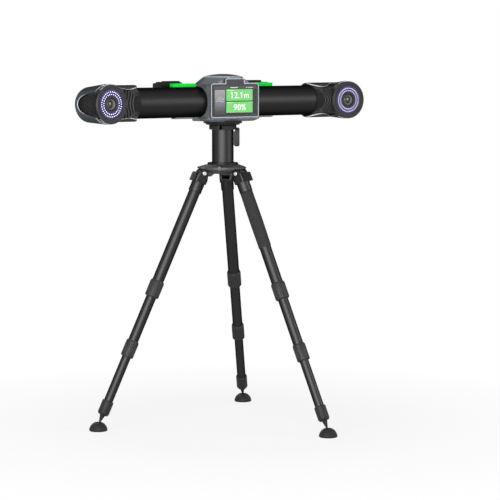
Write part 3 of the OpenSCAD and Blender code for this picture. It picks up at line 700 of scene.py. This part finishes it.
# %% Front rings and lenses
GLASS_R = 11
GREY_R = 14.2
ring_outline = [
    (45, 60.8), (55.5, 60.8), (55.8, 62.1), (58.8, 62.1), (59, 63), (57.4, 65), (55.4, 67.2), (53.6, 67.8),
    (52.6, 67.2), (52.3, 65.4), (51.2, 65.4), (50.9, 66.7), (48.4, 66.1), (48.1, 65.2), (47.3, 65.0),
    (47.0, 65.7), (45.6, 65.3), (45, 64.6)]
mount_outline = [
    (11.2, 53), (19.8, 53), (19.8, 61), (24.8, 61), (24.8, 64), (23.6, 66), (21, 67), (19.6, 66.6),
    (18.6, 65.2), (17.6, 59.6), (16.2, 59.2), (15.8, 61.4), (14.9, 62), (13.4, 61.8), (12.4, 60.4), (11.2, 56.4)]
dome = [(GLASS_R * math.sin(a), 56 + 5 * (math.cos(a) - 0.6))
        for a in (1.5, 1.3, 1.1, 0.9, 0.7, 0.5, 0.3, 0.15, 0)]
glass_outline = [(0, 54), (GLASS_R, 54), *dome]
for side in SIDES:
    for name, outline, material, node in (
            ("camera_ring", ring_outline, ring_black, "front_ring"),
            ("lens_mount", mount_outline, ring_black, "lens_barrel"),
            ("lens_dome", glass_outline, lens, "lens_glass")):
        piece = turned(f"{name}_{side}", outline, 128)
        radii = [math.hypot(patch.center.x, patch.center.z) / MM for patch in piece.data.polygons]
        to_head(piece, side)
        fit(piece, material, slot_of[f"{node}_{side}"], "scanner", f"{node}_{side}", angle=25)
        if name == "lens_mount":
            piece.data.materials.append(mount_grey)
            piece.data.polygons.foreach_set("material_index", [int(round(r, 1) < GREY_R) for r in radii])

# %% [markdown]
# ## The ring lights
# Two rings of small lamps shine round each lens, on a dark blue board. One lamp is half a sphere with few faces. It
# is set at its radius and repeated round the optical axis by the spin tool, which can make copies instead of a
# surface.

# %% Ring lights
LAMP_FRONT = 63.2
LAMP_R = 1.1
lamp_glow = coating("lamp_glow", (0.80, 0.78, 0.95), 0.3, 1 * MM, 0.001 * MM, spread=0.04)
glowing(lamp_glow, (0.76, 0.74, 1.0), 3.0)
board_outline = [(25.2, 60.8), (44.6, 60.8), (44.6, 63), (44.2, 63.2), (25.6, 63.2), (25.2, 63)]
for side in SIDES:
    piece = turned("lamp_board_" + side, board_outline, 96)
    to_head(piece, side)
    fit(piece, led_board, slot_of["led_board_" + side], "scanner", "led_board_" + side)


def lamp_ring(name, radius, count, first):
    fresh()
    turn = math.radians(first)
    bpy.ops.mesh.primitive_uv_sphere_add(
        segments=10, ring_count=6, radius=LAMP_R * MM,
        location=(radius * MM * math.cos(turn), -LAMP_FRONT * MM, radius * MM * math.sin(turn)),
        rotation=(math.pi / 2, 0, 0))
    bpy.ops.object.transform_apply()
    ring = bpy.context.object
    ring.name = name
    bpy.ops.object.mode_set(mode="EDIT")
    bpy.ops.mesh.select_all(action="SELECT")
    bpy.ops.mesh.bisect(
        plane_co=(0, -LAMP_FRONT * MM, 0), plane_no=(0, 1, 0), clear_outer=True, use_fill=True)
    bpy.ops.mesh.select_all(action="SELECT")
    bpy.ops.mesh.spin(steps=count, angle=2 * math.pi, dupli=True, center=(0, 0, 0), axis=(0, 1, 0))
    close_up()
    return ring


for ring_name, radius, count, first in (("outer_lamps", 37.2, 34, 0), ("inner_lamps", 29.4, 26, 6)):
    for side in SIDES:
        ring = lamp_ring(f"{ring_name}_{side}", radius, count, first)
        to_head(ring, side)
        fit(ring, lamp_glow, slot_of["led_board_" + side], "scanner", angle=180)

# %% [markdown]
# ## The display: finishes
# What a screen shows is light of its own, so these finishes glow a little in their own colour. The field behind
# the picture gets darker downwards. That shade is made from the height on the object, so it stays in place from
# every side.

# %% Display finishes


def lit(name, colour, glow):
    """A part of a screen: it gives off its own colour, with a trace of unevenness."""
    material = coating(name, colour, 0.35, 3 * MM, 0.0005 * MM, spread=0.03, shine=0.2)
    return glowing(material, colour, glow)


def shade_down(material, low, high, darkest):
    """Darkens a finish downwards, between two heights in millimetres."""
    tree = material.node_tree
    shader = tree.nodes["Principled BSDF"]
    place = tree.nodes.new("ShaderNodeTexCoord")
    split = tree.nodes.new("ShaderNodeSeparateXYZ")
    tree.links.new(place.outputs["Object"], split.inputs[0])
    ramp = tree.nodes.new("ShaderNodeMapRange")
    ramp.inputs["From Min"].default_value = low * MM
    ramp.inputs["From Max"].default_value = high * MM
    ramp.inputs["To Min"].default_value = darkest
    tree.links.new(split.outputs["Z"], ramp.inputs["Value"])
    darker = tree.nodes.new("ShaderNodeMixRGB")
    darker.blend_type = "MULTIPLY"
    darker.inputs["Fac"].default_value = 1
    tree.links.new(shader.inputs["Base Color"].links[0].from_socket, darker.inputs["Color1"])
    tree.links.new(ramp.outputs["Result"], darker.inputs["Color2"])
    tree.links.new(darker.outputs["Color"], shader.inputs["Base Color"])


field_green = lit("field_green", (0.135, 0.46, 0.122), 0.15)
line_green = lit("line_green", (0.36, 0.74, 0.30), 0.15)
field_dark = lit("field_dark", (0.050, 0.049, 0.051), 0.1)
field_grey = lit("field_grey", (0.25, 0.245, 0.25), 0.02)
shade_down(field_grey, 975, 1035, 0.15)
dot_violet = lit("dot_violet", (0.16, 0.14, 0.34), 0.15)
dot_grey = lit("dot_grey", (0.50, 0.50, 0.53), 0.1)
reading_white = lit("reading_white", (0.85, 0.90, 0.85), 0.2)
print("display finishes: 7")

# %% [markdown]
# ## The display: fields
# The screen shows two bright fields for the readings, a grey field for a small picture, and plain bars in place of
# small print. They are thin plates with rounded corners just in front of the glass. A painted texture would do on a
# flat screen, but plates keep crisp edges at any distance.

# %% Display fields
screen_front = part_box("display_screen")[0][1]


def plate(name, left, right, low, high, corner, lift, material):
    """A thin plate with round corners, by its edges in millimetres from the column and the floor."""
    corners = ((right - corner, high - corner, 0), (left + corner, high - corner, 90),
               (left + corner, low + corner, 180), (right - corner, low + corner, 270))
    outline = [p for x, z, a in corners for p in arc((x, z), corner, a, a + 90, 6)]
    front = screen_front - lift * MM
    piece = block(name, [(x * MM, front, z * MM) for x, z in outline], (0, (lift + 0.3) * MM, 0))
    fit(piece, material, "screen", "scanner")


plate("screen_top", -80, 83, 1047, 1055, 1.5, 0.15, field_dark)
plate("title_bar", -17, 10, 1049.5, 1052.5, 0.7, 0.3, dot_grey)
plate("status_bar", 50, 68, 1050, 1052, 0.7, 0.3, dot_grey)
plate("status_dot", 42, 46, 1049.5, 1052.5, 0.7, 0.3, dot_grey)
plate("foot_line", 58, 79, 967.2, 968, 0.3, 0.3, dot_violet)
plate("picture_field", -77, -37, 966.5, 1044.5, 1.5, 0.3, field_grey)
plate("upper_field", -33, 67, 1010.5, 1045.5, 2.0, 0.3, field_green)
plate("lower_field", -33, 67, 974, 1007.5, 2.0, 0.3, field_green)
plate("upper_line", -32, -4, 1042, 1044, 0.6, 0.45, line_green)
plate("lower_line", -32, -9, 1004, 1006, 0.6, 0.45, line_green)

# %% [markdown]
# ## The display: picture
# The small picture is a plain cloud of measured points: three rings of flat dots, pale above and violet below. As
# with the lamps, one dot is modelled and the spin tool copies it.

# %% Display picture
heart = Vector((-56 * MM, screen_front, 1009 * MM))


def dot_ring(name, radius, count, size):
    """A ring of flat dots round the middle of the picture."""
    fresh()
    bpy.ops.mesh.primitive_circle_add(
        vertices=10, radius=size * MM, fill_type="NGON", rotation=(math.pi / 2, 0, 0),
        location=heart + Vector((radius * MM, -0.45 * MM, 0)))
    bpy.ops.object.transform_apply()
    piece = bpy.context.object
    piece.name = name
    bpy.ops.object.mode_set(mode="EDIT")
    bpy.ops.mesh.select_all(action="SELECT")
    bpy.ops.mesh.extrude_region_move(TRANSFORM_OT_translate={"value": (0, 0.3 * MM, 0)})
    bpy.ops.mesh.select_all(action="SELECT")
    bpy.ops.mesh.spin(steps=count, angle=2 * math.pi, dupli=True, center=heart, axis=(0, 1, 0))
    close_up()
    fit(piece, dot_grey, "screen", "scanner")
    piece.data.materials.append(dot_violet)
    for dot in piece.data.polygons:
        dot.material_index = int(dot.center.z < heart.z - 1 * MM)


dot_ring("picture_dots_outer", 13.5, 14, 1.4)
dot_ring("picture_dots_middle", 8.6, 9, 1.5)
dot_ring("picture_dots_inner", 3.8, 4, 1.4)

# %% [markdown]
# ## The display: readings
# The readings are a distance and a level. Each is a text object that is made a mesh before it is put in place. The
# built-in letters have a figure one without its slanting stroke, so the ones are found by their narrow width and
# get a small flag.

# %% Display readings
CAP_HEIGHT = 0.72
FIGURE_GAP = 0.5
ONE_WIDTH = 4.5


def reading(name, words, middle_x, middle_z, height):
    fresh()
    bpy.ops.object.text_add()
    piece = bpy.context.object
    piece.name = name
    piece.data.body = words
    piece.data.align_x, piece.data.align_y = "CENTER", "CENTER"
    piece.data.size = height * MM / CAP_HEIGHT
    piece.data.extrude = 0.15 * MM
    piece.data.offset = 0.08 * MM
    piece.data.space_character = 1.10
    bpy.ops.object.convert(target="MESH")
    piece.rotation_euler = (math.pi / 2, 0, 0)
    piece.location = (middle_x * MM, screen_front - 0.4 * MM, middle_z * MM)
    bpy.ops.object.transform_apply()
    fit(piece, reading_white, "screen", "scanner")
    return piece


def flag(name, digit_left, top):
    """The short slanting stroke at the top of a figure one, by the figure's upper left corner in millimetres."""
    outline = [(0.4, 0), (0.4, -3.2), (-3.6, -5.4), (-3.6, -2.6)]
    front = screen_front - 0.55 * MM
    piece = block(name, [((digit_left + x) * MM, front, (top + z) * MM) for x, z in outline], (0, 0.3 * MM, 0))
    fit(piece, reading_white, "screen", "scanner")


distance = reading("distance_reading", "12.1m", 18, 1026.5, 19)
spots = sorted((v.co.x / MM, v.co.z / MM) for v in distance.data.vertices)
highest = max(z for x, z in spots)
groups = [[spots[0]]]
for spot in spots[1:]:
    if spot[0] - groups[-1][-1][0] > FIGURE_GAP:
        groups.append([])
    groups[-1].append(spot)
ones = [g for g in groups if g[-1][0] - g[0][0] < ONE_WIDTH and max(z for x, z in g) > highest - 0.5]
for number, figure in enumerate(ones, 1):
    flag(f"figure_flag_{number}", figure[0][0], highest)
print("figures one:", len(ones))
reading("level_reading", "90%", 18, 989.5, 19)

# %% [markdown]
# ## Soft edges on the hard parts
# No moulded or cast part has edges as sharp as a CAD solid, and a dark part is only seen by the light on its
# edges. Each of these nodes is copied, its loose triangles are merged and its flat faces joined, and a small bevel
# is applied. A second, lighter finish on the bevel, where one is given, is a painted highlight on the edge. The
# cells after this one use the helper piece by piece.

# %% Soft edges


def softened(node, width, material, edge_highlight=None, angle=32, segments=2, shape=None):
    """A copy of a node with a bevel on its edges, in place of the node; shape may cut it first, and a second finish
    paints a highlight on the bevel.
    """
    piece = bpy.data.objects.new(node + "_soft", nodes[node].data.copy())
    scene.collection.objects.link(piece)
    pick(piece)
    bpy.ops.object.mode_set(mode="EDIT")
    bpy.ops.mesh.select_all(action="SELECT")
    bpy.ops.mesh.remove_doubles(threshold=2e-6)
    bpy.ops.mesh.dissolve_limited(angle_limit=math.radians(0.5))
    bpy.ops.object.mode_set(mode="OBJECT")
    if shape:
        shape(piece)
    piece.data.materials.clear()
    piece.data.materials.append(material)
    if edge_highlight:
        piece.data.materials.append(edge_highlight)
    apply(piece, "BEVEL", width=width * MM, segments=segments, limit_method="ANGLE",
          angle_limit=math.radians(angle), material=1 if edge_highlight else -1)
    pick(piece)
    bpy.ops.object.shade_smooth_by_angle(angle=math.radians(angle))
    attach(piece, nodes[node]["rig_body"])
    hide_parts(node)
    print(piece.name, len(piece.data.polygons), "faces")
    return piece


print("soft edges: helper ready")

# %% [markdown]
# ## The middle housing
# The housing rises to the cap like a low cone, its lower corners are slanted, and only a thin rail runs out below
# the beam. The cone is a turned solid, and what lies outside it is cut away. Its bevels wear a light finish as a
# painted highlight, and the ring round the cap is a painted highlight in the same finish.

# %% Middle housing


def on_house(name, outline, near, far):
    """A block across the housing: (x, height over the beam axis) between two depths, in millimetres."""
    spots = [(x * MM, beam.y + near * MM, beam.z + z * MM) for x, z in outline]
    return block(name, spots, (0, (far - near) * MM, 0))


def turned_up(name, outline, steps=96):
    """A piece turned on the column's axis: (radius, height over the beam axis) in millimetres."""
    piece = trace(name, [(r * MM, column.y, beam.z + z * MM) for r, z in outline])
    bpy.ops.mesh.spin(steps=steps, angle=2 * math.pi, center=(0, column.y, 0), axis=(0, 0, 1))
    close_up()
    return piece


def shape_house(piece):
    """Turns the roof to a cone under the cap, slants the lower corners and thins the rail."""
    roof = [(0, -150), (220, -150), (220, 42), (106, 51), (86, 56.5), (61, 75.8), (57, 79), (0, 79)]
    combine(piece, turned_up("roof_cone", roof), "INTERSECT")
    for s in SIDES.values():
        corner = [(s * 112, -46), (s * 112, -70), (s * 62, -70)]
        for near, far in ((-90, -12), (12, 90)):
            combine(piece, on_house("corner", corner, near, far), "DIFFERENCE")
        rail = [(s * 104.5, -50.5), (s * 190, -50.5), (s * 190, -60), (s * 104.5, -60)]
        combine(piece, on_house("rail_cut", rail, -20, 20), "DIFFERENCE")


softened("centre_housing", 2.0, house_paint, edge_highlight=highlight_rim, shape=shape_house)
# The ring round the cap wears the light finish: a painted highlight.
cap_collar = turned_up("cap_collar", [
    (50, 75), (59.6, 75), (60.2, 75.8), (60.2, 77.6), (59, 78.8), (56.2, 78.8), (55.6, 78), (50, 78)])
fit(cap_collar, highlight_rim, slot_of["centre_housing"], "scanner")

# %% [markdown]
# ## The display frame
# The frame round the display is painted like the casings, and its front gets a painted highlight. After the bevel,
# the faces that look forwards take the light finish as a painted highlight.

# %% Display frame
FORWARDS = -0.3
bezel = softened("display_frame", 0.8, slate)
bezel.data.materials.append(highlight_rim)
# Painted highlight on the faces that look forwards.
for patch in bezel.data.polygons:
    patch.material_index = int(patch.normal.y < FORWARDS)

# %% [markdown]
# ## Tripod castings
# The hub, the collar, the forks and the flange are cast, with soft edges all round. A bevel of about a millimetre
# is enough to catch the streak of the front light.

# %% Tripod castings
for node in ("spider", "clamp_collar"):
    softened(node, 0.9, cast)
for node in each_leg("leg_yoke"):
    softened(node, 0.9, leg_black)
softened("pan_flange", 0.9, tab_black)

# %% [markdown]
# ## The clamp lever and the ball ends
# The closed lever lies almost on the column. Its inner face is moved a little inwards, which narrows the gap but
# leaves it free to swing. The ball ends are plain mouldings.

# %% Clamp lever and ball ends
LEVER_SHIFT = 0.8 * MM
LEVER_SKIN = 0.2 * MM


def shape_lever(piece):
    """Brings the inner face of the closed lever close to the column."""
    outwards = middle("clamp_lever") - column
    outwards.z = 0
    outwards.normalize()
    reach = [(vertex.co - column).dot(outwards) for vertex in piece.data.vertices]
    inner = min(reach) + LEVER_SKIN
    pick_points(piece, lambda vertex: reach[vertex.index] < inner)
    bpy.ops.transform.translate(value=-LEVER_SHIFT * outwards)
    bpy.ops.object.mode_set(mode="OBJECT")


softened("clamp_lever", 0.8, plastic, shape=shape_lever)
for node in each_leg("ball_end"):
    softened(node, 0.8, plastic)

# %% [markdown]
# ## Angle tabs, twist locks and feet
# Each leg's angle is set by a tab that pulls out of the fork. Its grip is a flat plate, so what lies outside the
# fork is pressed together along the direction of the pull, which the joint gives. The locks and the feet only need
# their edges softened.

# %% Angle tabs, twist locks and feet
TAB_GRIP = 10 * MM
TAB_PRESS = 0.65
joint_of = {joint["name"]: joint for joint in frame["record"]["behaviour"]["joints"]}


def shape_tab(piece):
    """Slims the grip of an angle tab, outside the fork, to a flat plate."""
    joint = joint_of[piece.name.removesuffix("_soft").replace("angle_tab", "leg") + "_tab_pull"]
    outwards = Vector(joint["axis"]).normalized()
    reach = [vertex.co.dot(outwards) for vertex in piece.data.vertices]
    fork_side = max(reach) - TAB_GRIP
    for vertex in piece.data.vertices:
        beyond = reach[vertex.index] - fork_side
        if beyond > 0:
            vertex.co -= TAB_PRESS * beyond * outwards


for node in each_leg("angle_tab"):
    softened(node, 0.5, tab_black, shape=shape_tab)
for node in each_leg("upper_lock", "lower_lock"):
    softened(node, 0.6, lock_grey)
for node in each_leg("foot_pad"):
    softened(node, 1.0, rubber)

# %% [markdown]
# ## The rear module
# Behind the housing lies a black module. Its middle is lower, so that it hides behind the roof, and a lid covers
# each end. The lids are blocks with a traced profile. The left one has an end block, which the right one lacks in
# the photo too.

# %% Rear module
LID_NEAR, LID_DEPTH = 46, 22
module_top = (Vector(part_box("rear_module")[1]) / MM).z


def shape_module(piece):
    """Lowers the middle of the rear module, behind the housing."""
    notch = on_house("notch", [(-127, 53), (127, 53), (127, 80), (-127, 80)], 20, 100)
    combine(piece, notch, "DIFFERENCE")


softened("rear_module", 1.0, core_black, shape=shape_module)
lid_outlines = {
    "left": [(-129, -2), (-171, -2), (-171, -4), (-204.5, -4), (-204.5, 0.2), (-203.5, 1.2), (-184, 1.2),
             (-184, 2), (-182, 3.6), (-131, 3.6), (-129, 2)],
    "right": [(129, -2), (184, -2), (184, 2), (182, 3.6), (131, 3.6), (129, 2)],
}
for side, outline in lid_outlines.items():
    spots = [(x * MM, beam.y + LID_NEAR * MM, (module_top + z) * MM) for x, z in outline]
    lid = block("module_lid_" + side, spots, (0, LID_DEPTH * MM, 0))
    apply(lid, "BEVEL", width=0.6 * MM, segments=2, limit_method="ANGLE", angle_limit=math.radians(40))
    fit(lid, core_black, slot_of["rear_module"], "scanner")

# %% [markdown]
# ## Light strips and cap
# A green light strip runs out from the housing on each side, on top of the beam. The strips are trimmed at their
# ends and tops by one block, and a wide bevel makes them round like a light guide. The cap gets a small bevel.

# %% Light strips and cap


def shape_strips(piece):
    """Trims the ends and the tops of the light strips."""
    room = on_house("strip_room", [(-189, 30), (189, 30), (189, 57.6), (-189, 57.6)], -40, 40)
    combine(piece, room, "INTERSECT")


softened("light_strips", 4.0, green, segments=4, shape=shape_strips)
softened("top_cap", 1.0, core_black)

# %% [markdown]
# ## Pins
# The leg pins have bright steel heads, and the lever's pin is black. They are one node, so the finish is chosen by
# height: what lies above the middle of the column belongs to the lever.

# %% Pins
pins = softened("pivot_pins", 0.6, steel)
pins.data.materials.append(plastic)
for patch in pins.data.polygons:
    patch.material_index = int(patch.center.z > column.z)

# %% [markdown]
# ## Ribbed necks and side covers
# The necks of the camera heads and their side covers are ribbed, and only the crests of the ribs show. So the
# bevels, which are the crests, get a lighter grey as a painted highlight, and so does the round land between the
# beam's collar and the ribs.

# %% Ribbed necks and side covers
COLLAR = 17 * MM
LAND_IN, LAND_OUT = 50.4 * MM, 51.3 * MM
for node in both("side_cover"):
    softened(node, 0.4, core_black, edge_highlight=rib_grey)
collar_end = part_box("beam_tube")[1][0] + COLLAR
for node in both("head_core"):
    core = softened(node, 0.5, core_black, edge_highlight=rib_grey)
    for patch in core.data.polygons:
        across = math.hypot(patch.center.y - beam.y, patch.center.z - beam.z)
        if abs(patch.center.x) > collar_end and LAND_IN < across < LAND_OUT:
            patch.material_index = 1

# %% [markdown]
# ## The foam grip
# One leg wears a sleeve of foam, pulled over the tube: it swells a little between its ends and its rims are
# round. It is turned on the axis of that leg, which is the axis of the leg's own slide, with a soft wave as its
# outline. The foam's pores are in the finish.

# %% Foam grip
GRIP_R, GRIP_BORE, RIM_R = 20.4, 18.1, 18.6
SWELL = 0.35
along_leg = Vector(joint_of["leg_3_middle_slide"]["axis"]).normalized()
grip_low, grip_high = (Vector(corner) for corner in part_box("foam_grip"))
half_height = (grip_high.z - grip_low.z) / 2 / MM
half = (half_height - GRIP_R * math.sqrt(1 - along_leg.z ** 2)) / abs(along_leg.z)
swell = [(GRIP_R - SWELL + SWELL * math.cos(math.pi * i / 12), -(half - 3) * i / 12) for i in range(-12, 13)]
sleeve_outline = [(GRIP_BORE, half - 0.6), (RIM_R, half), *swell, (RIM_R, -half), (GRIP_BORE, -half + 0.6)]
sleeve = turned("foam_sleeve", sleeve_outline, 64)
pick(sleeve)
sleeve.rotation_euler = along_leg.to_track_quat("Y", "Z").to_euler()
sleeve.location = middle("foam_grip")
bpy.ops.object.transform_apply()
fit(sleeve, foam, slot_of["foam_grip"], nodes["foam_grip"]["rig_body"], "foam_grip")
